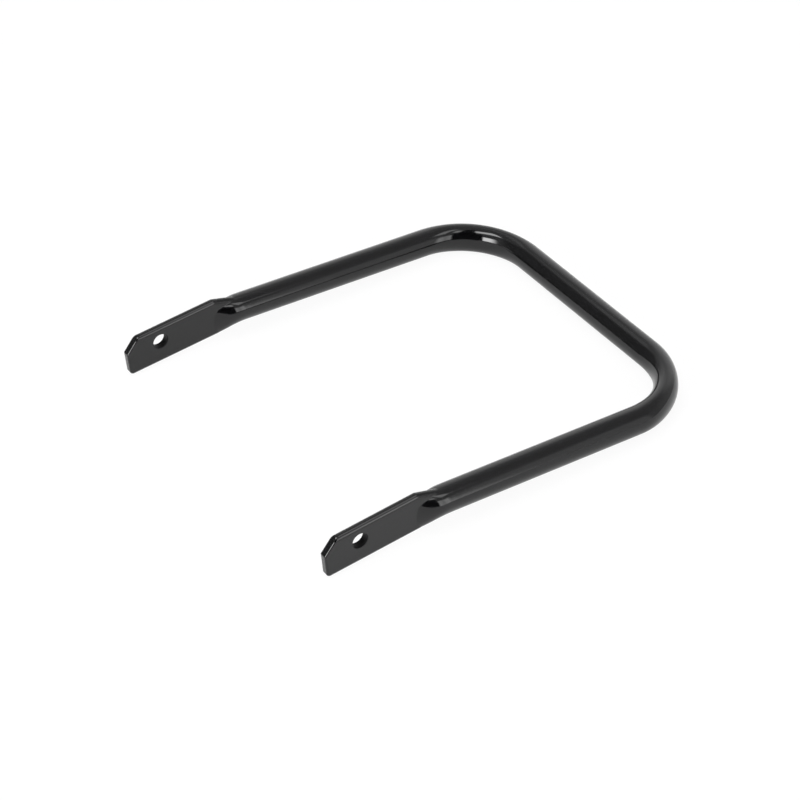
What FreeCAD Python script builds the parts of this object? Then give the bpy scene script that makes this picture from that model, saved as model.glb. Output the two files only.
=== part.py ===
import FreeCAD, Part
import os
import Sketcher
from FreeCAD import Placement, Rotation, Vector
from math import pi

# Side hoop of a motorcycle pannier rack: one round steel tube bent into a U. Both ends are
# pressed flat into upright tabs, drilled for a bolt and clipped at the upper corner.
# The tube's axis lies in the XY plane: the crossbar's axis is on Y, the legs run towards -X.
# One half is drawn, on the -Y side, and mirrored. The body is then laid on its rest: the
# bends and the heels of both tabs touch the ground. The pressed ends seal the tube, so its
# bore can't be seen and the solid is closed.

TUBE_DIA = 16.0          # outside of the tube
LEG_SPACING = 202.0      # between the two leg axes
LEG_LENGTH = 184.0       # crossbar axis to where the tab turns down
BEND_RADIUS = 45.0       # to the tube's axis
BEND_SQUASH = 0.135      # share of the width that a bend loses across the U
BEND_BULGE = 0.088       # share that it gains square to the U
PRESS_OFFSET = 14.0      # where the tube starts to close, behind the turn
CREASE_OFFSET = 6.0      # foremost point of the crease, ahead of the turn
NOSE_DEPTH = 2.9         # how far the closing tube sinks below its own axis
NOSE_SPREAD = 1.4        # how much taller it gets as it closes, above and below
TAB_DROOP = 7.9          # degrees below the leg
TAB_HEIGHT = 23.8
TAB_THICK = 4.8          # the tube's two walls, pressed together, with their paint
WEB_OFFSET = 9.0         # where the tab's edges leave the tube, behind the turn
WEB_TUCK = 0.3           # how deep they start under the tube's surface
SHOULDER_OFFSET = 4.5    # where the tab has its full height, ahead of the turn
HOLE_OFFSET = 40.9       # bolt hole, ahead of the turn
HOLE_HEIGHT = 2.4        # bolt hole above the tab's middle line
HOLE_DIA = 9.0           # medium clearance for an 8 mm bolt
TIP_LENGTH = 21.3        # bolt hole to the tab's end
CLIP_LENGTH = 8.2        # clipped corner, along the tab
CLIP_DEPTH = 8.6         # clipped corner, down the end
HEEL_ROUND = 3.2         # radius of the lower corner
TRIM_MARGIN = 2.0        # how far the trimming cut runs past the tab

SIZES = (("tube_dia", TUBE_DIA), ("leg_spacing", LEG_SPACING), ("leg_length", LEG_LENGTH),
         ("bend_radius", BEND_RADIUS), ("bend_squash", BEND_SQUASH), ("bend_bulge", BEND_BULGE),
         ("press_offset", PRESS_OFFSET), ("crease_offset", CREASE_OFFSET), ("nose_depth", NOSE_DEPTH),
         ("nose_spread", NOSE_SPREAD), ("tab_droop", TAB_DROOP), ("tab_height", TAB_HEIGHT),
         ("tab_thick", TAB_THICK), ("web_offset", WEB_OFFSET), ("web_tuck", WEB_TUCK),
         ("shoulder_offset", SHOULDER_OFFSET), ("hole_offset", HOLE_OFFSET), ("hole_height", HOLE_HEIGHT),
         ("hole_dia", HOLE_DIA), ("tip_length", TIP_LENGTH), ("clip_length", CLIP_LENGTH),
         ("clip_depth", CLIP_DEPTH), ("heel_round", HEEL_ROUND), ("trim_margin", TRIM_MARGIN))

doc = FreeCAD.newDocument("rack_hoop")
sheet = doc.addObject("Spreadsheet::Sheet", "sizes")
for row, (alias, value) in enumerate(SIZES, 1):
    sheet.set("A%d" % row, alias)
    sheet.set("B%d" % row, str(value))
    sheet.setAlias("B%d" % row, alias)
doc.recompute()

body = doc.addObject("PartDesign::Body", "rack_hoop")
body.Label = "rack_hoop"


def cell(text):
    """An expression in which $name is a size in the sheet."""
    return text.replace("$", "sizes.")


def origin_plane(role):
    for item in body.Origin.OriginFeatures:
        if item.Role == role:
            return item


def new_sketch(name, role, base, rotation=Rotation(), turn=None):
    """A sketch on an origin plane, moved by three expressions in that plane's own axes."""
    sketch = body.newObject("Sketcher::SketchObject", name)
    sketch.AttachmentSupport = (origin_plane(role), "")
    sketch.MapMode = "FlatFace"
    sketch.AttachmentOffset = Placement(Vector(0, 0, 0), rotation)
    for axis, text in zip("xyz", base):
        if text:
            sketch.setExpression("AttachmentOffset.Base." + axis, cell(text))
    if turn:
        sketch.setExpression("AttachmentOffset.Rotation.Angle", cell(turn))
    return sketch


def add_dim(sketch, name, constraint, text):
    index = sketch.addConstraint(constraint)
    sketch.renameConstraint(index, name)
    sketch.setExpression("Constraints." + name, cell(text))


def add_circle(sketch, name, text, radius):
    geo = sketch.addGeometry(Part.Circle(Vector(0, 0, 0), Vector(0, 0, 1), radius), False)
    sketch.addConstraint(Sketcher.Constraint("Coincident", geo, 3, -1, 1))
    add_dim(sketch, name, Sketcher.Constraint("Radius", geo, radius), text)


def add_oval(sketch, tall_text, flat_text, tall, flat):
    """An ellipse about the sketch's origin: its long half along the sketch's x, its short half along y."""
    geo = sketch.addGeometry(Part.Ellipse(Vector(tall, 0, 0), Vector(0, flat, 0), Vector(0, 0, 0)), False)
    sketch.exposeInternalGeometry(geo)
    sketch.addConstraint(Sketcher.Constraint("Coincident", geo, 3, -1, 1))
    sketch.addConstraint(Sketcher.Constraint("Horizontal", geo + 1))
    add_dim(sketch, "tall", Sketcher.Constraint("Distance", geo + 1, 2 * tall), "2 * (" + tall_text + ")")
    add_dim(sketch, "flat", Sketcher.Constraint("Distance", geo + 2, 2 * flat), "2 * (" + flat_text + ")")


def add_loft(name, sections):
    loft = body.newObject("PartDesign::AdditiveLoft", name)
    loft.Profile = sections[0]
    loft.Sections = sections[1:]
    return loft


# Crossbar and leg: straight lengths of tube.
LEG_Y = "-$leg_spacing / 2"

bar_section = new_sketch("bar_section", "XZ_Plane", ("", "", ""))
add_circle(bar_section, "outside", "$tube_dia / 2", TUBE_DIA / 2)
crossbar = body.newObject("PartDesign::Pad", "crossbar")
crossbar.Profile = bar_section
crossbar.setExpression("Length", cell("$leg_spacing / 2 - $bend_radius"))

leg_section = new_sketch("leg_section", "YZ_Plane", (LEG_Y, "", "-$bend_radius"))
add_circle(leg_section, "outside", "$tube_dia / 2", TUBE_DIA / 2)
leg = body.newObject("PartDesign::Pad", "leg")
leg.Profile = leg_section
leg.Reversed = True
leg.setExpression("Length", cell("$leg_length - $press_offset - $bend_radius"))

# Bend: the tube flattens a little across the U and stands taller, most at the middle of the bend.
# Each step: degrees round the bend from the leg, share of the full squash and bulge.
BEND_STEPS = ((0, 0), (22.5, 0.8), (45, 1), (67.5, 0.8), (90, 0))
FULLEST_STEP = BEND_STEPS[3]

bend_axis = new_sketch("bend_axis", "XY_Plane", ("-$bend_radius", "$bend_radius - $leg_spacing / 2", ""))
quarter = Part.ArcOfCircle(Part.Circle(Vector(0, 0, 0), Vector(0, 0, 1), BEND_RADIUS), -pi / 2, 0)
arc = bend_axis.addGeometry(quarter, False)
bend_axis.addConstraint(Sketcher.Constraint("Coincident", arc, 3, -1, 1))
bend_axis.addConstraint(Sketcher.Constraint("PointOnObject", arc, 1, -2))
bend_axis.addConstraint(Sketcher.Constraint("PointOnObject", arc, 2, -1))
add_dim(bend_axis, "radius", Sketcher.Constraint("Radius", arc, BEND_RADIUS), "$bend_radius")

bend_sections = []
for angle, share in BEND_STEPS:
    # Square to the bend's axis, with x upright and y away from the bend's centre.
    base = ("$bend_radius * (sin(%g) - 1)" % angle,
            "$bend_radius * (1 - cos(%g)) - $leg_spacing / 2" % angle, "")
    square = Rotation(Vector(0, 0, 1), Vector(0, -1, 0), Vector(1, 0, 0), "ZXY")
    section = new_sketch("bend_section_%d" % angle, "XY_Plane", base,
                         Rotation(Vector(0, 0, 1), angle).multiply(square))
    if share:
        add_oval(section, "$tube_dia / 2 * (1 + %g * $bend_bulge)" % share,
                 "$tube_dia / 2 * (1 - %g * $bend_squash)" % share,
                 TUBE_DIA / 2 * (1 + share * BEND_BULGE), TUBE_DIA / 2 * (1 - share * BEND_SQUASH))
    else:
        add_circle(section, "outside", "$tube_dia / 2", TUBE_DIA / 2)
    bend_sections.append(section)

bend = body.newObject("PartDesign::AdditivePipe", "bend")
bend.Spine = (bend_axis, ["Edge1"])
bend.Profile = bend_sections[0]
bend.Sections = bend_sections[1:]
bend.Transformation = "Multisection"

# Nose: the tube closes from round to flat and dives into the tab, sinking a little on the way.
# Where it leaves the flat it makes the crease. Each step: share of the way to the crease, how
# open the tube still is, how far it has spread and sunk. The last step lies inside the tab.
NOSE_STEPS = ((0, 1, 0), (0.22, 0.99, 0.05), (0.45, 0.88, 0.3), (0.65, 0.64, 0.68), (0.84, 0.3, 1),
              (1, 0, 1), (1.1, -0.17, 1))

nose_sections = []
for number, (along, gape, spread) in enumerate(NOSE_STEPS):
    # Square to the leg, with x upright and y across the leg.
    base = (LEG_Y, "-$nose_depth * %g" % spread,
            "$press_offset - $leg_length - ($crease_offset + $press_offset) * %g" % along)
    section = new_sketch("nose_section_%d" % number, "YZ_Plane", base, Rotation(Vector(0, 0, 1), 90))
    if number:
        add_oval(section, "$tube_dia / 2 + $nose_spread * %g" % spread,
                 "$tab_thick / 2 + ($tube_dia - $tab_thick) / 2 * %g" % gape,
                 TUBE_DIA / 2 + NOSE_SPREAD * spread, TAB_THICK / 2 + (TUBE_DIA - TAB_THICK) / 2 * gape)
    else:
        add_circle(section, "outside", "$tube_dia / 2", TUBE_DIA / 2)
    nose_sections.append(section)
nose = add_loft("nose", nose_sections)


def flat_section(name, base, turn, height_text, height):
    """An upright section as thick as the tab, with half-round edges."""
    sketch = new_sketch(name, "YZ_Plane", base, Rotation(Vector(1, 0, 0), -TAB_DROOP), turn)
    edge = TAB_THICK / 2
    rim = height / 2 - edge
    upper = Part.Circle(Vector(0, rim, 0), Vector(0, 0, 1), edge)
    lower = Part.Circle(Vector(0, -rim, 0), Vector(0, 0, 1), edge)
    right = sketch.addGeometry(Part.LineSegment(Vector(edge, -rim, 0), Vector(edge, rim, 0)), False)
    top = sketch.addGeometry(Part.ArcOfCircle(upper, 0, pi), False)
    left = sketch.addGeometry(Part.LineSegment(Vector(-edge, rim, 0), Vector(-edge, -rim, 0)), False)
    low = sketch.addGeometry(Part.ArcOfCircle(lower, pi, 2 * pi), False)
    for first, second in ((right, top), (top, left), (left, low), (low, right)):
        sketch.addConstraint(Sketcher.Constraint("Tangent", first, 2, second, 1))
    sketch.addConstraint(Sketcher.Constraint("Vertical", right))
    sketch.addConstraint(Sketcher.Constraint("Symmetric", top, 3, low, 3, -1, 1))
    add_dim(sketch, "edge", Sketcher.Constraint("Radius", top, edge), "$tab_thick / 2")
    add_dim(sketch, "rim", Sketcher.Constraint("DistanceY", low, 3, top, 3, 2 * rim),
            "(" + height_text + ") - $tab_thick")
    return sketch


# Tab: a flat plate with half-round edges that turns down from the leg. A web of the same
# thickness widens from inside the tube to the tab's full height.
SHOULDER = (LEG_Y, "-$shoulder_offset * sin($tab_droop)",
            "-$leg_length - $shoulder_offset * cos($tab_droop)")
web_section = flat_section("web_section", (LEG_Y, "", "$web_offset - $leg_length"), "0 * $tab_droop",
                           "$tube_dia - 2 * $web_tuck", TUBE_DIA - 2 * WEB_TUCK)
shoulder_section = flat_section("shoulder_section", SHOULDER, "-$tab_droop", "$tab_height", TAB_HEIGHT)
web = add_loft("web", [web_section, shoulder_section])

tab_section = flat_section("tab_section", SHOULDER, "-$tab_droop", "$tab_height", TAB_HEIGHT)
tab = body.newObject("PartDesign::Pad", "tab")
tab.Profile = tab_section
tab.Reversed = True
tab.setExpression("Length", cell("$hole_offset + $tip_length - $shoulder_offset"))

# Trimming of the tab's end, drawn in the tab's own plane from the turn: the upper corner is
# clipped straight, and the heel is rounded.
TIP = "($hole_offset + $tip_length)"
ON_TAB = ("-$leg_length", "", "$leg_spacing / 2")
TURNED = Rotation(Vector(0, 0, 1), TAB_DROOP)

clip_sketch = new_sketch("clip_outline", "XZ_Plane", ON_TAB, TURNED, "$tab_droop")
out_x = -(HOLE_OFFSET + TIP_LENGTH + TRIM_MARGIN)
out_y = TAB_HEIGHT / 2 + TRIM_MARGIN
clip_run = CLIP_LENGTH + TRIM_MARGIN + TRIM_MARGIN * CLIP_LENGTH / CLIP_DEPTH
clip_fall = CLIP_DEPTH + TRIM_MARGIN + TRIM_MARGIN * CLIP_DEPTH / CLIP_LENGTH
corners = (Vector(out_x, out_y - clip_fall, 0), Vector(out_x + clip_run, out_y, 0), Vector(out_x, out_y, 0))
sides = []
for here, there in zip(corners, corners[1:] + corners[:1]):
    sides.append(clip_sketch.addGeometry(Part.LineSegment(here, there), False))
for first, second in zip(sides, sides[1:] + sides[:1]):
    clip_sketch.addConstraint(Sketcher.Constraint("Coincident", first, 2, second, 1))
slant, level, plumb = sides
clip_sketch.addConstraint(Sketcher.Constraint("Horizontal", level))
clip_sketch.addConstraint(Sketcher.Constraint("Vertical", plumb))
add_dim(clip_sketch, "out_x", Sketcher.Constraint("DistanceX", plumb, 1, -1, 1, -out_x),
        TIP + " + $trim_margin")
add_dim(clip_sketch, "out_y", Sketcher.Constraint("DistanceY", -1, 1, level, 1, out_y),
        "$tab_height / 2 + $trim_margin")
add_dim(clip_sketch, "run", Sketcher.Constraint("DistanceX", level, 2, level, 1, clip_run),
        "$clip_length + $trim_margin + $trim_margin * $clip_length / $clip_depth")
add_dim(clip_sketch, "fall", Sketcher.Constraint("DistanceY", slant, 1, plumb, 1, clip_fall),
        "$clip_depth + $trim_margin + $trim_margin * $clip_depth / $clip_length")
clip = body.newObject("PartDesign::Pocket", "clipped_corner")
clip.Profile = clip_sketch
clip.Type = "ThroughAll"
clip.SideType = "Symmetric"

heel_sketch = new_sketch("heel_outline", "XZ_Plane", ON_TAB, TURNED, "$tab_droop")
end_x = -(HOLE_OFFSET + TIP_LENGTH)
low_y = -TAB_HEIGHT / 2
heel_circle = Part.Circle(Vector(end_x + HEEL_ROUND, low_y + HEEL_ROUND, 0), Vector(0, 0, 1), HEEL_ROUND)
end_line = Part.LineSegment(Vector(end_x, low_y + HEEL_ROUND, 0), Vector(end_x, low_y, 0))
low_line = Part.LineSegment(Vector(end_x, low_y, 0), Vector(end_x + HEEL_ROUND, low_y, 0))
down = heel_sketch.addGeometry(end_line, False)
under = heel_sketch.addGeometry(low_line, False)
heel = heel_sketch.addGeometry(Part.ArcOfCircle(heel_circle, pi, 1.5 * pi), False)
heel_sketch.addConstraint(Sketcher.Constraint("Coincident", down, 2, under, 1))
heel_sketch.addConstraint(Sketcher.Constraint("Tangent", down, 1, heel, 1))
heel_sketch.addConstraint(Sketcher.Constraint("Tangent", under, 2, heel, 2))
heel_sketch.addConstraint(Sketcher.Constraint("Vertical", down))
heel_sketch.addConstraint(Sketcher.Constraint("Horizontal", under))
add_dim(heel_sketch, "heel", Sketcher.Constraint("Radius", heel, HEEL_ROUND), "$heel_round")
add_dim(heel_sketch, "end_x", Sketcher.Constraint("DistanceX", down, 2, -1, 1, -end_x), TIP)
add_dim(heel_sketch, "low_y", Sketcher.Constraint("DistanceY", down, 2, -1, 1, -low_y), "$tab_height / 2")
rounded_heel = body.newObject("PartDesign::Pocket", "rounded_heel")
rounded_heel.Profile = heel_sketch
rounded_heel.Type = "ThroughAll"
rounded_heel.SideType = "Symmetric"
doc.recompute()

# Bolt hole, drilled through the tab from its outer face.
hole_sketch = new_sketch("hole_centre", "XZ_Plane",
                         ("-$leg_length - $hole_offset * cos($tab_droop) - $hole_height * sin($tab_droop)",
                          "$hole_height * cos($tab_droop) - $hole_offset * sin($tab_droop)",
                          "$leg_spacing / 2 + $tab_thick / 2"))
add_circle(hole_sketch, "mark", "$hole_dia / 2", HOLE_DIA / 2)
doc.recompute()
bolt_hole = body.newObject("PartDesign::Hole", "bolt_hole")
bolt_hole.Profile = hole_sketch
bolt_hole.DepthType = "ThroughAll"
bolt_hole.setExpression("Diameter", cell("$hole_dia"))
doc.recompute()

other_half = body.newObject("PartDesign::Mirrored", "other_half")
other_half.TransformMode = "Whole shape"
other_half.MirrorPlane = (origin_plane("XZ_Plane"), [""])
body.Tip = other_half

# Rest: the U is pitched until the heels and the fullest part of both bends are on the ground, and
# the origin is moved to the middle of the footprint.
HEEL_S = "(" + TIP + " - $heel_round)"
HEEL_H = "($heel_round - $tab_height / 2)"
HEEL_X = "($leg_length + %s * cos($tab_droop) + %s * sin($tab_droop))" % (HEEL_S, HEEL_H)
HEEL_Z = "(%s * cos($tab_droop) - %s * sin($tab_droop))" % (HEEL_H, HEEL_S)
FULL_X = "($bend_radius * (1 - sin(%g)))" % FULLEST_STEP[0]
FULL_R = "($tube_dia / 2 * (1 + %g * $bend_bulge))" % FULLEST_STEP[1]
RUN = "(%s - %s)" % (HEEL_X, FULL_X)
FALL = "(%s + %s)" % (HEEL_Z, FULL_R)
PITCH = "(asin($heel_round / sqrt(%s ^ 2 + %s ^ 2)) - atan(%s / %s))" % (RUN, FALL, FALL, RUN)
CLIP_H = "($tab_height / 2 - $clip_depth)"
CLIP_X = "(-$leg_length - %s * cos($tab_droop) - %s * sin($tab_droop))" % (TIP, CLIP_H)
CLIP_Z = "(%s * cos($tab_droop) - %s * sin($tab_droop))" % (CLIP_H, TIP)
FRONT = "(%s * cos(%s) + %s * sin(%s))" % (CLIP_X, PITCH, CLIP_Z, PITCH)
body.Placement = Placement(Vector(0, 0, 0), Rotation(Vector(0, 1, 0), 3))
body.setExpression("Placement.Rotation.Angle", cell(PITCH))
body.setExpression("Placement.Base.x", cell("-($tube_dia / 2 + %s) / 2" % FRONT))
body.setExpression("Placement.Base.z", cell("%s * cos(%s) - %s * sin(%s)" % (FULL_R, PITCH, FULL_X, PITCH)))
doc.recompute()

for item in doc.Objects:
    if "Invalid" in item.State or "Error" in item.State:
        raise RuntimeError("%s did not build: %s" % (item.Name, item.State))
shape = body.Shape
if shape.isNull() or not shape.isValid() or len(shape.Solids) != 1:
    raise RuntimeError("the hoop is not one valid solid")

os.makedirs("parts", exist_ok=True)
shape.exportStep("parts/%s.step" % body.Label)
print("volume mm3", round(shape.Volume, 1), "box", shape.optimalBoundingBox())
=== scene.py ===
# %% [markdown]
# # A pannier rack hoop in gloss black paint
# The real thing is one steel tube. It is bent into a U, both ends are pressed flat, drilled and
# clipped at one corner, and then the whole piece is painted. This lesson builds its smooth outside
# as one closed grid of points, paints it, and lights it as a small white studio would.
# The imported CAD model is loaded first: it fixes where everything is, in metres.

import bmesh
import bpy
import numpy as np
from mathutils import Matrix, Vector


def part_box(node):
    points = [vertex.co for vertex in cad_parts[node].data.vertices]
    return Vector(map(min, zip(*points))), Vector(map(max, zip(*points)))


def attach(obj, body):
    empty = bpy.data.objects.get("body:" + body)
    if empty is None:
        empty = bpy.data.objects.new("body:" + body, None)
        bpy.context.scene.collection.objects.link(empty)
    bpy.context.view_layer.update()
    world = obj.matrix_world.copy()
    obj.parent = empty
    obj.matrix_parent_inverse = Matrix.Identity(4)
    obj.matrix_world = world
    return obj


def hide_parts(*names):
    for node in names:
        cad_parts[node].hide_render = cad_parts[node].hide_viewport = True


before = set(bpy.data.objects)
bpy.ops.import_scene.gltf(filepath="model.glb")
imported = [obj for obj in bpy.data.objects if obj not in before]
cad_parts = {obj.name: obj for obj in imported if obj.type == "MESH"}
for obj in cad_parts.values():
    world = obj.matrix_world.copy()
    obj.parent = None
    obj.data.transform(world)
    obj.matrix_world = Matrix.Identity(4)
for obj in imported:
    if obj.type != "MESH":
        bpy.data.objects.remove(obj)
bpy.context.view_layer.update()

# %% [markdown]
# ## One ring of points, carried from end to end
# Every cross-section of the hoop is a closed ring: a circle on the legs, an oval on the bends, and
# a flat slot with round ends on the tabs. If each ring has the same number of points, in the same
# order, then rings set one behind the other make a grid, and the grid is the surface.
# The ring is laid out for the slot, where it matters most: many points on the two flats, for the
# crease that crosses them, and fewer round the two edges.

# %% the ring
FLAT_POINTS, EDGE_POINTS = 60, 20
RING = 2 * (FLAT_POINTS + EDGE_POINTS)


def slot_ring(half_height, half_thick):
    """Slot with round ends, as (out, up) points in mm.

    Up the outer flat, over the top on a half circle of the half thickness, down the inner flat and
    back under the bottom on another half circle.
    """
    rim = half_height - half_thick
    climb = np.linspace(-rim, rim, FLAT_POINTS, endpoint=False)
    over = np.linspace(0, np.pi, EDGE_POINTS, endpoint=False)
    thick = np.full(FLAT_POINTS, half_thick)
    out = np.concatenate([thick, half_thick * np.cos(over), -thick, -half_thick * np.cos(over)])
    up = np.concatenate([climb, rim + half_thick * np.sin(over), -climb, -rim - half_thick * np.sin(over)])
    return out, up


round_angle = 2 * np.pi * (np.arange(RING) - FLAT_POINTS / 2) / RING
print("ring of", RING, "points")

# %% [markdown]
# ## Legs, bends and crossbar
# Bending squeezes a tube: on the inside of the U it loses width, and it stands a little taller. So
# the ring on a bend is an oval, fullest at the middle of the bend, and it has to come and go softly,
# because gloss paint shows every kink as a break in a reflection. All sizes are in mm.

# %% tube sizes and sweep
TUBE_RADIUS = 8.0
LEG_Y = 101.0                        # a leg's middle line, from the middle of the U
BEND_RADIUS = 45.0
BEND_SQUASH, BEND_BULGE = 0.135, 0.088  # shares of the radius lost across and gained in height
SQUEEZE_POWER = 5.6
LEG_RINGS, BEND_RINGS, BAR_RINGS = 16, 61, 8
PRESS_X, PRESS_RUN = -170.0, 20.0    # where the press starts to close the tube, and over what length
NOSE_LEAD = 0.22                     # the nose's rings start this share of that length earlier


def half_path():
    """Middle line from one nose to the middle of the crossbar: x, y and the turn so far.

    Straight along the leg, then a quarter circle, whose point is the bend's centre plus its radius
    times (sin turn, -cos turn), then straight along the crossbar.
    """
    leg = np.linspace(PRESS_X + NOSE_LEAD * PRESS_RUN, -BEND_RADIUS, LEG_RINGS)[1:-1]
    turn = np.linspace(0, np.pi / 2, BEND_RINGS)
    bar = np.linspace(BEND_RADIUS - LEG_Y, 0, BAR_RINGS)[1:]
    x = np.concatenate([leg, BEND_RADIUS * (np.sin(turn) - 1), 0 * bar])
    y = np.concatenate([0 * leg - LEG_Y, BEND_RADIUS * (1 - np.cos(turn)) - LEG_Y, bar])
    return x, y, np.concatenate([0 * leg, turn, 0 * bar + np.pi / 2])


def tube_rings():
    """Oval rings along the whole path, as points in the hoop's own plane.

    The share t of the way into the bend, from either end, gives the squeeze 1 - (1 - t^2)^power,
    which starts flat and is about 0.8 half-way in. Each ring is the path's point plus the outward
    direction times the narrowed radius times cos, plus upward times the raised radius times sin.
    """
    x, y, turn = half_path()
    x, y, turn = (np.concatenate([x, x[-2::-1]]), np.concatenate([y, -y[-2::-1]]),
                  np.concatenate([turn, np.pi - turn[-2::-1]]))
    share = 1 - np.abs(np.abs(turn - np.pi / 2) / (np.pi / 4) - 1)
    squeeze = (1 - (1 - share ** 2) ** SQUEEZE_POWER)[:, None]
    wide = TUBE_RADIUS * (1 - BEND_SQUASH * squeeze) * np.cos(round_angle)
    tall = TUBE_RADIUS * (1 + BEND_BULGE * squeeze) * np.sin(round_angle)
    return np.stack([x[:, None] + np.sin(turn)[:, None] * wide,
                     y[:, None] - np.cos(turn)[:, None] * wide, tall], axis=-1)


tube = tube_rings()
print("tube rings", tube.shape)

# %% [markdown]
# ## The pressed end
# Where the press closes the tube, two shapes meet: the nose of the tube, which narrows from round
# to flat and sinks a little, and the flat web that grows out of it into the tab. They meet in a
# C-shaped crease. A boolean would leave a knife-sharp corner that paint never has. Instead each
# shape is a distance function, the two are joined softly, and every ring point is found by walking
# out along a ray until the joined distance is zero, on whole arrays at once.

# %% distance to the nose and to the web
HALF_THICK, HALF_TAB = 2.4, 11.9     # half the tab's thickness and half its height
DROOP, TURN_X = np.radians(7.9), -184.0  # the tab's slope, and where it turns down
WEB_X, WEB_HALF = -175.0, 7.7        # where the web leaves the tube, and its half height there
SHOULDER, NOSE_END = 4.5, 8.5        # past the turn: where the web is as tall as the tab, and the last ring
NOSE_DEPTH, NOSE_SPREAD = 2.9, 1.4   # how far the nose sinks, and how much taller it gets
CREASE_FILLET = 0.15
# Steps along the nose: share of the press's run, how wide the tube still gapes, how far it has sunk.
NOSE_WAY = np.array([-NOSE_LEAD, 0, 0.22, 0.45, 0.65, 0.84, 1, 1.1])
NOSE_GAPE = np.array([1, 1, 0.99, 0.88, 0.64, 0.3, 0, -0.17])
NOSE_SINK = np.array([0, 0, 0.05, 0.3, 0.68, 1, 1, 1])


def smooth_through(at, ways, values):
    """Cubic curve through the steps, whose slope at each step is that of its two neighbours."""
    slope = np.gradient(values, ways)
    at = np.clip(at, ways[0], ways[-1])
    k = np.clip(np.searchsorted(ways, at) - 1, 0, len(ways) - 2)
    run = ways[k + 1] - ways[k]
    t = (at - ways[k]) / run
    start = values[k] * (1 + 2 * t) * (1 - t) ** 2 + slope[k] * run * t * (1 - t) ** 2
    return start + values[k + 1] * t * t * (3 - 2 * t) - slope[k + 1] * run * t * t * (1 - t)


def to_nose(out, x, z):
    """Distance in mm from the closing tube: an ellipse whose halves depend on the way along it."""
    way = (PRESS_X - x) / PRESS_RUN
    sink = smooth_through(way, NOSE_WAY, NOSE_SINK)
    flat = HALF_THICK + (TUBE_RADIUS - HALF_THICK) * smooth_through(way, NOSE_WAY, NOSE_GAPE)
    tall = TUBE_RADIUS + NOSE_SPREAD * sink
    rise = z + NOSE_DEPTH * sink
    level = np.hypot(out / flat, rise / tall)
    return level * (level - 1) / np.hypot(out / flat ** 2, rise / tall ** 2)


def to_slot(out, up, half_height):
    """Distance in mm from a slot section: from its middle line, less the half thickness."""
    return np.hypot(out, np.maximum(np.abs(up) - half_height + HALF_THICK, 0)) - HALF_THICK


def soft_union(a, b, width):
    """The smaller of two distances, lowered by a quarter of width where they are equal."""
    near = np.maximum(width - np.abs(a - b), 0) / width
    return np.minimum(a, b) - near ** 2 * width / 4


print("nose half thickness at the crease", HALF_THICK, "mm")

# %% rings of the pressed end
BEFORE_RINGS, GROW_RINGS, PAST_RINGS = 16, 80, 30
RAY_FROM, RAY_TO, HALVINGS = 0.3, 16.0, 40
NO_WEB = 9.0


def nose_rings():
    """Rings from the round tube to just past the crease, as (x, out, z) in the leg's own plane.

    Each ring has a centre and a tilt that follow the web; its points lie on rays whose angles go
    from even spacing to the slot's spacing. Bisection on all rays at once finds the surface. Ahead of
    the web its distance is a large one, so that only the nose counts.
    """
    before = np.linspace(PRESS_X + NOSE_LEAD * PRESS_RUN, WEB_X, BEFORE_RINGS)[:-1]
    grow = np.linspace(0, 1, GROW_RINGS)
    past = np.linspace(SHOULDER, NOSE_END, PAST_RINGS)[1:]
    web_run = TURN_X - SHOULDER * np.cos(DROOP) - WEB_X
    centre_x = np.concatenate([before, WEB_X + grow * web_run, TURN_X - past * np.cos(DROOP)])
    centre_z = np.concatenate([0 * before, -grow * SHOULDER * np.sin(DROOP), -past * np.sin(DROOP)])
    tilt = np.concatenate([0 * before, grow * DROOP, 0 * past + DROOP])[:, None]
    half = np.concatenate([0 * before, WEB_HALF + grow * (HALF_TAB - WEB_HALF),
                           0 * past + HALF_TAB])[:, None]
    slot_angle = np.unwrap(np.arctan2(*slot_ring(HALF_TAB, HALF_THICK)[::-1]))
    mix = np.linspace(0, 1, len(centre_x))[:, None]
    mix = mix * mix * (3 - 2 * mix)
    angle = round_angle * (1 - mix) + slot_angle * mix
    near, far = np.full(angle.shape, RAY_FROM), np.full(angle.shape, RAY_TO)
    for _ in range(HALVINGS):
        reach = (near + far) / 2
        out, up = reach * np.cos(angle), reach * np.sin(angle)
        x = centre_x[:, None] - up * np.sin(tilt)
        z = centre_z[:, None] + up * np.cos(tilt)
        web = np.where(half > 0, to_slot(out, up, half), NO_WEB)
        inside = soft_union(to_nose(out, x, z), web, CREASE_FILLET) < 0
        near, far = np.where(inside, reach, near), np.where(inside, far, reach)
    return np.stack([x, out, z], axis=-1)


nose = nose_rings()
print("nose rings", nose.shape)

# %% [markdown]
# ## The tab
# From the nose on, the ring no longer changes: the tab is the slot, carried along. Its end is
# sheared off, with one corner clipped and the lower one rounded. So each point of the ring runs on
# until it meets that outline, turns over a small paint-rounded edge, and goes in over the cut face
# to its middle. The flats are left open here, because the bolt hole goes through them.

# %% tab rings
TIP = 62.2                           # from the turn to the tip
CLIP_LENGTH, CLIP_DEPTH = 8.2, 8.6
HEEL = 3.2
EDGE_ROUND = 1.0
TAB_ROWS, EDGE_ROWS, FACE_ROWS = 56, 6, 7


def end_of_tab(up):
    """How far the tab runs at each height: to its tip, less the clip above, less the heel below."""
    clip = np.maximum(up - HALF_TAB + CLIP_DEPTH, 0) * CLIP_LENGTH / CLIP_DEPTH
    below = np.clip(HEEL - HALF_TAB - up, 0, HEEL)
    return TIP - clip - HEEL + np.sqrt(HEEL ** 2 - below ** 2)


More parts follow.
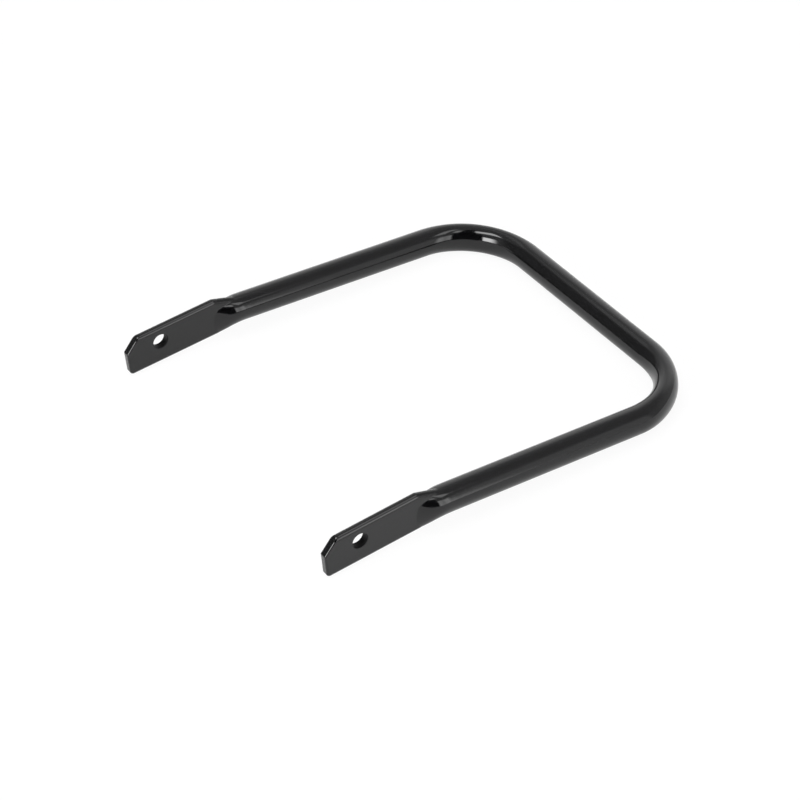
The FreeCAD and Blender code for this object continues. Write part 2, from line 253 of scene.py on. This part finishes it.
def tab_rings():
    """Rings from the nose's end over the cut end to its middle line, as (along, out, up).

    Straight rows to just short of the outline; a quarter round, start + (corner - start) sin +
    (finish - corner)(1 - cos); then ever smaller slots on the cut face.
    """
    out, up = slot_ring(HALF_TAB, HALF_THICK)
    steep = np.where(up > HALF_TAB - CLIP_DEPTH, np.hypot(1, CLIP_LENGTH / CLIP_DEPTH), 1.0)
    start = np.stack([end_of_tab(up) - EDGE_ROUND * steep, out, up], axis=-1)
    corner = np.stack([end_of_tab(up), out, up], axis=-1)
    root = np.stack([0 * up + NOSE_END, out, up], axis=-1)
    straight = root + np.linspace(0, 1, TAB_ROWS + 1)[1:, None, None] * (start - root)
    depth = np.linspace(EDGE_ROUND, HALF_THICK, FACE_ROWS)
    inset = [slot_ring(HALF_TAB - d, HALF_THICK - d) for d in depth]
    cut = np.stack([np.stack([end_of_tab(u), o, u], axis=-1) for o, u in inset])
    bow = np.linspace(0, np.pi / 2, EDGE_ROWS)[1:, None, None]
    edge = start + (corner - start) * np.sin(bow) + (cut[0] - corner) * (1 - np.cos(bow))
    return np.concatenate([straight, edge, cut[1:]])


tab = tab_rings()
print("tab rings", tab.shape)

# %% [markdown]
# ## Putting the rings together
# The tab hangs down from the leg by a few degrees, so its points are turned about the place where
# it leaves the leg. One end, the tube and the other end then make a single grid.

# %% one grid for the whole hoop
def from_tab(points):
    """(along, out, up) on the tab to (x, out, z) on the leg: a turn by the droop about its root."""
    along, out, up = np.moveaxis(points, -1, 0)
    return np.stack([TURN_X - along * np.cos(DROOP) - up * np.sin(DROOP), out,
                     up * np.cos(DROOP) - along * np.sin(DROOP)], axis=-1)


def on_side(points, side):
    """(x, out, z) on a leg to the hoop: out is away from the middle of the U."""
    return np.stack([points[..., 0], side * (LEG_Y + points[..., 1]), points[..., 2]], axis=-1)


end = np.concatenate([nose, from_tab(tab)])
grid = np.concatenate([on_side(end, -1)[::-1], tube, on_side(end, 1)])
number = np.arange(grid.shape[0] * RING).reshape(-1, RING)
beside = np.roll(number, -1, 1)
quad = np.stack([number[:-1], beside[:-1], beside[1:], number[1:]], axis=-1)
first = len(nose) - 1
last = first + TAB_ROWS
rows = len(grid)
past_tube = rows - len(end)
open_rows = np.zeros(rows - 1, bool)
open_rows[past_tube + first:past_tube + last] = True
open_rows |= open_rows[::-1]
flat_columns = np.arange(RING) % (FLAT_POINTS + EDGE_POINTS) < FLAT_POINTS
faces = [quad[~(open_rows[:, None] & flat_columns)]]
print("grid of", rows, "rings,", len(faces[0]), "quads so far")

# %% [markdown]
# ## Bolt holes
# Seen from the hole, each flat is a simple outline, so both flats and the hole between them are one
# more grid: it starts on the outline of the outer flat, closes in on the hole, rolls over its lip,
# goes through the wall and opens out to the inner flat. Extra rows close to the outline and to the
# lip keep the flats' shading flat.

# %% flats with the hole through them
HOLE_ALONG, HOLE_UP = 40.9, 2.4      # from the turn, and above the tab's middle line
HOLE_RADIUS = 4.5
LIP, LIP_ROWS = 0.35, 6
FLAT_SHARES = (0.03, 0.5, 0.94)      # where the rows lie between outline and lip


def hole_rows(outline):
    """Rows from the outer outline through the hole, as (along, out, up).

    On a flat, a row is a share of the way from the outline to the rim. On a lip it is a quarter
    round: the radius is the hole's plus lip times (1 - sin), the height falls by lip times (1 - cos).
    """
    arm = outline - (HOLE_ALONG, HOLE_UP)
    reach = np.hypot(arm[:, 0], arm[:, 1])
    ray = arm / reach[:, None]
    share = np.array(FLAT_SHARES)[:, None]
    flat = reach + share * (HOLE_RADIUS + LIP - reach)
    bow = np.linspace(0, np.pi / 2, LIP_ROWS)[:, None]
    lip = HOLE_RADIUS + LIP * (1 - np.sin(bow)) + 0 * reach
    radius = np.concatenate([flat, lip, lip[::-1], flat[::-1]])
    depth = np.concatenate([0 * share, LIP * (1 - np.cos(bow))])
    out = np.concatenate([HALF_THICK - depth, depth[::-1] - HALF_THICK]) + 0 * radius
    return np.stack([HOLE_ALONG + radius * ray[:, 0], out, HOLE_UP + radius * ray[:, 1]], axis=-1)


down = np.arange(first, last + 1)
across = np.arange(FLAT_POINTS + 1)
loop_row = np.concatenate([0 * across[1:] + first, down[1:], 0 * across[1:] + last, down[::-1][1:]])
loop_column = np.concatenate([across[1:], 0 * down[1:] + FLAT_POINTS, across[::-1][1:], 0 * down[1:]])
behind = 2 * FLAT_POINTS + EDGE_POINTS - loop_column
root_row = np.stack([0 * tab[0, :, 0] + NOSE_END, tab[0, :, 1], tab[0, :, 2]], axis=-1)
flat_grid = np.concatenate([root_row[None], tab])[loop_row - first, loop_column]
patch = hole_rows(flat_grid[:, [0, 2]])
points = [grid.reshape(-1, 3)]
for side in (-1, 1):
    row = past_tube + loop_row if side > 0 else len(end) - 1 - loop_row
    new = sum(map(len, points)) + np.arange(patch[..., 0].size).reshape(patch.shape[:2])
    net = np.concatenate([number[row, loop_column][None], new, number[row, behind][None]])
    after = np.roll(net, -1, 1)
    wall = np.stack([net[:-1], after[:-1], after[1:], net[1:]], axis=-1)
    faces.append(wall.reshape(-1, 4)[:, ::-side])
    points.append(on_side(from_tab(patch), side).reshape(-1, 3))
points = np.concatenate(points)
faces = np.concatenate([f.reshape(-1, 4) for f in faces])
print("points", len(points), "quads", len(faces))

# %% [markdown]
# ## Laid on the ground
# The drooping tabs and the full bends touch the ground, so the U leans a little. The lean follows
# from two circles that rest on one line: the heel's, and the tube's, three quarters of the way round
# a bend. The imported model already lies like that, and its box says how far the crossbar reaches.

# %% lean and set down
REST_TURN, REST_SQUEEZE = np.radians(67.5), 0.8
heel_along, heel_up = TIP - HEEL, HEEL - HALF_TAB
heel_x = -TURN_X + heel_along * np.cos(DROOP) + heel_up * np.sin(DROOP)
heel_z = heel_up * np.cos(DROOP) - heel_along * np.sin(DROOP)
bend_x = BEND_RADIUS * (1 - np.sin(REST_TURN))
bend_low = TUBE_RADIUS * (1 + REST_SQUEEZE * BEND_BULGE)
run, fall = heel_x - bend_x, heel_z + bend_low
LEAN = np.arcsin(HEEL / np.hypot(run, fall)) - np.arctan(fall / run)
crossbar_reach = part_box("rack_hoop")[1][0] * 1000
base_x = crossbar_reach - TUBE_RADIUS
base_z = bend_low * np.cos(LEAN) - bend_x * np.sin(LEAN)


def laid(spots):
    """Points of the level U in mm to the leaning one on the ground, in metres."""
    x, y, z = np.moveaxis(spots, -1, 0)
    return np.stack([base_x + x * np.cos(LEAN) + z * np.sin(LEAN), y,
                     base_z - x * np.sin(LEAN) + z * np.cos(LEAN)], axis=-1) / 1000


resting = laid(points)
hole_axis = laid(from_tab(np.array([HOLE_ALONG, 0.0, HOLE_UP])))
print("lean in degrees", round(float(np.degrees(LEAN)), 3), "lowest point", resting[:, 2].min())

# %% [markdown]
# ## From points to a mesh
# The grid's two ends close on the cut faces, where the last ring folds flat onto a line. Points that
# share a place there are merged, and all faces are turned outwards. Smooth shading suits the whole
# piece, because each edge that shows is a small round of real faces, as paint makes it. The piece
# then takes the place of the plain CAD hoop.

# %% make the mesh
SAME_PLACE = 2e-6
mesh = bpy.data.meshes.new("painted_hoop")
mesh.from_pydata(resting.tolist(), [], faces.tolist())
shell = bmesh.new()
shell.from_mesh(mesh)
bmesh.ops.remove_doubles(shell, verts=shell.verts, dist=SAME_PLACE)
bmesh.ops.recalc_face_normals(shell, faces=shell.faces)
open_edges = sum(not edge.is_manifold for edge in shell.edges)
print("open edges", open_edges, "volume mm3", round(shell.calc_volume() * 1e9))
shell.to_mesh(mesh)
shell.free()
mesh.polygons.foreach_set("use_smooth", np.ones(len(mesh.polygons), bool))
mesh.update()
hoop = bpy.data.objects.new("painted_hoop", mesh)
bpy.context.collection.objects.link(hoop)
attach(hoop, "root")
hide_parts("rack_hoop")
print("hoop triangles", sum(len(p.vertices) - 2 for p in mesh.polygons))

# %% [markdown]
# ## Camera
# The camera's place and focal length were found by fitting the outline of the hoop to the photograph.
# A focal length in pixels becomes one in mm through the width of Blender's sensor.

# %% camera
EYE = (-0.621600, -0.896803, 0.863350)
LOOK = (0.439702, 0.645750, -0.624235)
FOCAL_PIXELS, PICTURE_PIXELS = 2500.29, 800
lens = bpy.data.cameras.new("camera")
lens.sensor_width = 36.0
lens.lens = FOCAL_PIXELS / PICTURE_PIXELS * lens.sensor_width
camera = bpy.data.objects.new("camera", lens)
ahead = Vector(LOOK).normalized()
right = ahead.cross(Vector((0, 0, 1))).normalized()
facing = Matrix((right, right.cross(ahead), -ahead)).transposed()
camera.matrix_world = Matrix.Translation(EYE) @ facing.to_4x4()
bpy.context.collection.objects.link(camera)
bpy.context.scene.camera = camera
print("lens mm", round(lens.lens, 2))

# %% [markdown]
# ## Gloss black paint
# The steel is dipped or sprayed in black stoving enamel: a hard, smooth resin film over black
# pigment. The pigment gives back almost nothing, so nearly all that the eye sees is the mirror image
# of the room in the resin. That makes three things matter: the resin's refractive index, which sets
# how strong that image is, a small roughness, which sets how crisp it is, and the faint orange peel
# that every sprayed film has.

# %% helpers for materials
def linear(code):
    """sRGB hex colour to linear red, green and blue, with alpha 1."""
    part = np.array([int(code[i:i + 2], 16) for i in (1, 3, 5)]) / 255
    return (*np.where(part <= 0.04045, part / 12.92, ((part + 0.055) / 1.055) ** 2.4), 1.0)


def add_node(tree, kind, settings=None, **inputs):
    """Adds one node: settings are its own fields, inputs are values or the outputs linked to them."""
    node = tree.nodes.new(kind)
    for name, value in (settings or {}).items():
        setattr(node, name, value)
    for name, value in inputs.items():
        numbered = name[1:].isdigit()
        socket = node.inputs[int(name[1:]) if numbered else name.replace("_", " ")]
        if isinstance(value, bpy.types.NodeSocket):
            tree.links.new(value, socket)
        else:
            socket.default_value = value
    return node


def new_material(name):
    """An empty node material: the material and its node tree."""
    made = bpy.data.materials.new(name)
    made.use_nodes = True
    made.node_tree.nodes.clear()
    return made, made.node_tree


print("white in linear light", linear("#ffffff"))

# %% stoved black enamel
# Stoving enamel, sprayed and baked: a mirror-like resin film, a little uneven over a few millimetres.
# On the holes' walls the film is made rougher, and its mirror is weakened to darken them: that darkening is
# painted shade.
PEEL_MM, CLOUD_MM, ROUGH_AND_SHADE_EDGE_MM = 1.6, 14.0, 0.1
HOLE_WALL_ROUGH, HOLE_SHADE_MIRROR, FULL_MIRROR = 0.5, 0.12, 0.5
enamel, tree = new_material("stoved_black_enamel")
where = add_node(tree, "ShaderNodeTexCoord").outputs["Object"]
peel = add_node(tree, "ShaderNodeTexNoise", Vector=where, Scale=1000 / PEEL_MM, Detail=1.0, Roughness=0.4)
cloud = add_node(tree, "ShaderNodeTexNoise", Vector=where, Scale=1000 / CLOUD_MM, Detail=3.0,
                 Roughness=0.55)
tint = add_node(tree, "ShaderNodeMix", {"data_type": "RGBA"}, Factor=cloud.outputs["Fac"],
                _6=linear("#060607"), _7=linear("#0a0a0b"))
gloss = add_node(tree, "ShaderNodeMapRange", Value=cloud.outputs["Fac"], From_Min=0.35, From_Max=0.65,
                 To_Min=0.06, To_Max=0.11)
level = add_node(tree, "ShaderNodeVectorMath", {"operation": "MULTIPLY"}, _0=where, _1=(1, 0, 1))
from_axis = add_node(tree, "ShaderNodeVectorMath", {"operation": "DISTANCE"}, _0=level.outputs[0],
                     _1=hole_axis).outputs["Value"]
inside, outside = (HOLE_RADIUS + ROUGH_AND_SHADE_EDGE_MM) / 1000, (HOLE_RADIUS + LIP) / 1000
hole_wall_rough = add_node(tree, "ShaderNodeMapRange", Value=from_axis, From_Min=inside, From_Max=outside,
               To_Min=HOLE_WALL_ROUGH, To_Max=0.0)
# Painted shade: on the holes' walls the mirror strength drops, which darkens them.
hole_shade_mirror = add_node(tree, "ShaderNodeMapRange", Value=from_axis, From_Min=inside, From_Max=outside,
                  To_Min=HOLE_SHADE_MIRROR, To_Max=FULL_MIRROR)
rough = add_node(tree, "ShaderNodeMath", {"operation": "MAXIMUM"}, _0=gloss.outputs["Result"],
                 _1=hole_wall_rough.outputs["Result"])
bump = add_node(tree, "ShaderNodeBump", Height=peel.outputs["Fac"], Strength=0.05, Distance=0.00002)
film = add_node(tree, "ShaderNodeBsdfPrincipled", Base_Color=tint.outputs[2], Roughness=rough.outputs[0],
                Specular_IOR_Level=hole_shade_mirror.outputs["Result"], Normal=bump.outputs["Normal"], IOR=1.46)
add_node(tree, "ShaderNodeOutputMaterial", Surface=film.outputs["BSDF"])
hoop.data.materials.clear()
hoop.data.materials.append(enamel)
print("enamel nodes", len(tree.nodes))

# %% [markdown]
# ## A small white studio
# A black mirror shows the studio, so the studio is modelled as such pictures are taken: a white table
# with a cloth tent round it, and lamps behind the cloth. The table comes first. It has to be plain
# white in the picture and still carry the hoop's shadow, so its material asks the Light Path node
# which kind of ray has met it, and mixes its own shading with plain white.

# %% table
TABLE_RADIUS, TABLE_SIDES, TABLE_DROP = 2.0, 96, 0.0002
table = bpy.data.meshes.new("white_table")
around = np.linspace(0, 2 * np.pi, TABLE_SIDES, endpoint=False)
disc = np.stack([TABLE_RADIUS * np.cos(around), TABLE_RADIUS * np.sin(around),
                 0 * around - TABLE_DROP], axis=-1)
table.from_pydata(disc.tolist(), [], [list(range(TABLE_SIDES))])
table_object = bpy.data.objects.new("white_table", table)
bpy.context.collection.objects.link(table_object)
print("table sides", TABLE_SIDES)

# %% matt white laminate
# Matt white laminate on a board: no gloss at all, and almost as white as paper. Seen straight it is
# plain white with a little of its own shading, which is the hoop's soft shadow. In the paint's
# reflections about half of that shading is kept, so that the tube mirrors the darker table under it.
PLAIN_SHARE, PLAIN_IN_PAINT = 0.92, 0.5
laminate, tree = new_material("matt_white_laminate")
light_path = add_node(tree, "ShaderNodeLightPath").outputs
seen = add_node(tree, "ShaderNodeMath", {"operation": "MULTIPLY_ADD"},
                _0=light_path["Is Glossy Ray"], _1=PLAIN_IN_PAINT, _2=light_path["Is Camera Ray"])
seen = add_node(tree, "ShaderNodeMath", {"use_clamp": True},
                _0=seen.outputs[0], _1=light_path["Is Transmission Ray"])
share = add_node(tree, "ShaderNodeMath", {"operation": "MULTIPLY"}, _0=seen.outputs[0], _1=PLAIN_SHARE)
matt = add_node(tree, "ShaderNodeBsdfDiffuse", Color=linear("#f4f4f4"))
plain = add_node(tree, "ShaderNodeEmission", Color=linear("#ffffff"), Strength=1.0)
both = add_node(tree, "ShaderNodeMixShader", Fac=share.outputs[0], _1=matt.outputs[0], _2=plain.outputs[0])
add_node(tree, "ShaderNodeOutputMaterial", Surface=both.outputs[0])
table.materials.append(laminate)
print("table across in metres", 2 * TABLE_RADIUS)

# %% [markdown]
# ## The cloth tent
# The tent is a half dome round the table. What the paint mirrors there is listed piece by piece: lamps
# behind the cloth, brighter and darker cloth, the dark room behind the camera, and a dark gap on the
# left where the cloth stops short of the table. Separate lamps could be set up instead, but each would
# need its own cloth in front. Here the brightness is worked out for every point of the dome, from
# windows with soft edges, and stored as an attribute that the cloth's material reads. The camera looks
# through the tent.

# %% what the paint mirrors
# Each piece of the tent: its brightness on top of the bare cloth's, then the turn and the height that
# it spans, each as from, to and the width of its soft edge. Turns are in degrees left of straight
# behind the hoop, so minus is right and 180 is at the camera. A height of 0 is the table.
BARE_CLOTH = 0.62
TENT_PIECES = {
    "bright cloth behind the hoop": (0.5, (-35, 12, 25), (-5, 28, 18)),
    "darker cloth on the left": (-0.36, (52, 98, 22), (-5, 47, 10)),
    "darker cloth up on the right": (-0.11, (-92, -35, 12), (40, 66, 8)),
    "strip of light up behind the hoop": (0.4, (0, 30, 20), (53, 62, 6)),
    "spill beside the right lamp": (0.5, (-122, -102, 8), (-5, 30, 12)),
    "right lamp": (1.5, (-165, -120, 4), (-5, 32, 6)),
    "middle of the right lamp": (1.5, (-165, -144, 18), (-5, 32, 6)),
    "bright rim of the right lamp": (1.4, (-130, -122, 2), (-5, 28, 6)),
    "high lamp near the camera on the right": (3.8, (-160, -142, 4), (56, 67, 4)),
    "high lamp on the right": (2.5, (-121, -98, 6), (54, 75, 4)),
    "left lamp": (15.0, (143, 170, 20), (-5, 26, 6)),
    "high lamp on the left": (8.5, (106, 168, 8), (60, 71, 4)),
}
CAMERA_TURN = 6.5
DARK_ROOM = {
    "opening in the tent": ((-30, 26, 3), (-5, 46, 4)),
    "slit above it": ((-16, 16, 5), (-5, 80, 8)),
}
GAP_TURN, GAP_TOP, GAP_SOFT = (30, 190, 15), 4.5, 3
print("pieces of the tent", len(TENT_PIECES), "and dark ones", len(DARK_ROOM) + 1)

# %% tent
TENT_RADIUS = 1.9
BEHIND = np.arctan2(LOOK[1], LOOK[0])


def window(value, low, high, soft):
    """1 between low and high, falling to 0 over soft on either side, along a smooth step."""
    rise = np.clip((value - low) / soft + 1, 0, 1)
    drop = np.clip((high - value) / soft + 1, 0, 1)
    return rise * rise * (3 - 2 * rise) * drop * drop * (3 - 2 * drop)


def tent_glow(turn, height):
    """Brightness of the tent at a turn and a height in degrees.

    The bare cloth plus, for each piece, its brightness times its window in turn times its window in
    height. That is multiplied by 1 less the window of each dark piece, and of the gap at the table.
    """
    glow = BARE_CLOTH + 0 * turn
    for brighter, across, rise in TENT_PIECES.values():
        glow = glow + brighter * window(turn, *across) * window(height, *rise)
    from_camera = (turn - CAMERA_TURN) % 360 - 180
    for across, rise in DARK_ROOM.values():
        glow = glow * (1 - window(from_camera, *across) * window(height, *rise))
    return glow * (1 - window(turn, *GAP_TURN) * np.clip((GAP_TOP - height) / GAP_SOFT, 0, 1))


turn = np.linspace(-180, 180, 361)[:-1]
height = np.linspace(0, 90, 91)
turn_grid, height_grid = np.meshgrid(turn, height)
bearing, climb = np.radians(turn_grid) + BEHIND, np.radians(height_grid)
dome = TENT_RADIUS * np.stack([np.cos(climb) * np.cos(bearing), np.cos(climb) * np.sin(bearing),
                               np.sin(climb)], axis=-1)
knot = np.arange(dome[..., 0].size).reshape(dome.shape[:2])
next_knot = np.roll(knot, -1, 1)
panel = np.stack([knot[:-1], knot[1:], next_knot[1:], next_knot[:-1]], axis=-1).reshape(-1, 4)
tent = bpy.data.meshes.new("cloth_tent")
tent.from_pydata(dome.reshape(-1, 3).tolist(), [], panel.tolist())
stored = tent.attributes.new("glow", "FLOAT", "POINT")
stored.data.foreach_set("value", tent_glow(turn_grid, height_grid).ravel().astype(np.float32))
tent_object = bpy.data.objects.new("cloth_tent", tent)
tent_object.visible_camera = False
bpy.context.collection.objects.link(tent_object)
print("tent panels", len(panel))

# %% lit tent cloth
# Thin white cloth with lamps behind it: it gives light and hides where the light comes from.
cloth, tree = new_material("lit_tent_cloth")
glow = add_node(tree, "ShaderNodeAttribute", {"attribute_name": "glow"})
lit = add_node(tree, "ShaderNodeEmission", Color=linear("#ffffff"), Strength=glow.outputs["Fac"])
add_node(tree, "ShaderNodeOutputMaterial", Surface=lit.outputs[0])
cloth.cycles.emission_sampling = "NONE"
tent.materials.append(cloth)
print("cloth nodes", len(tree.nodes))

# %% [markdown]
# ## Light from above, and white beyond
# A wide lamp above the hoop evens out the table and gives the hoop its soft shadow. The tent's glow
# already holds what the paint mirrors overhead, so the lamp is kept out of reflections. The world is
# plain white, so that the picture stays white where the table ends.

# %% overhead lamp
LAMP_ACROSS, LAMP_HEIGHT, LAMP_WATTS = 1.4, 1.6, 4.0
lamp = bpy.data.lights.new("overhead_lamp", "AREA")
lamp.shape = "DISK"
lamp.size = LAMP_ACROSS
lamp.energy = LAMP_WATTS
lamp_object = bpy.data.objects.new("overhead_lamp", lamp)
lamp_object.location = (0.0, 0.0, LAMP_HEIGHT)
lamp_object.visible_camera = False
lamp_object.visible_glossy = False
bpy.context.collection.objects.link(lamp_object)
print("lamp watts", lamp.energy)

# %% white beyond the table
world = bpy.data.worlds.new("white_room")
world.use_nodes = True
world.node_tree.nodes.clear()
sky = add_node(world.node_tree, "ShaderNodeBackground", Color=linear("#ffffff"), Strength=1.0)
add_node(world.node_tree, "ShaderNodeOutputWorld", Surface=sky.outputs[0])
bpy.context.scene.world = world
print("world", world.name)

# %% [markdown]
# ## Look
# The Standard view shows a colour as it is written. The painted hoop may not be larger than the CAD
# model.

# %% look
bpy.context.scene.view_settings.view_transform = "Standard"
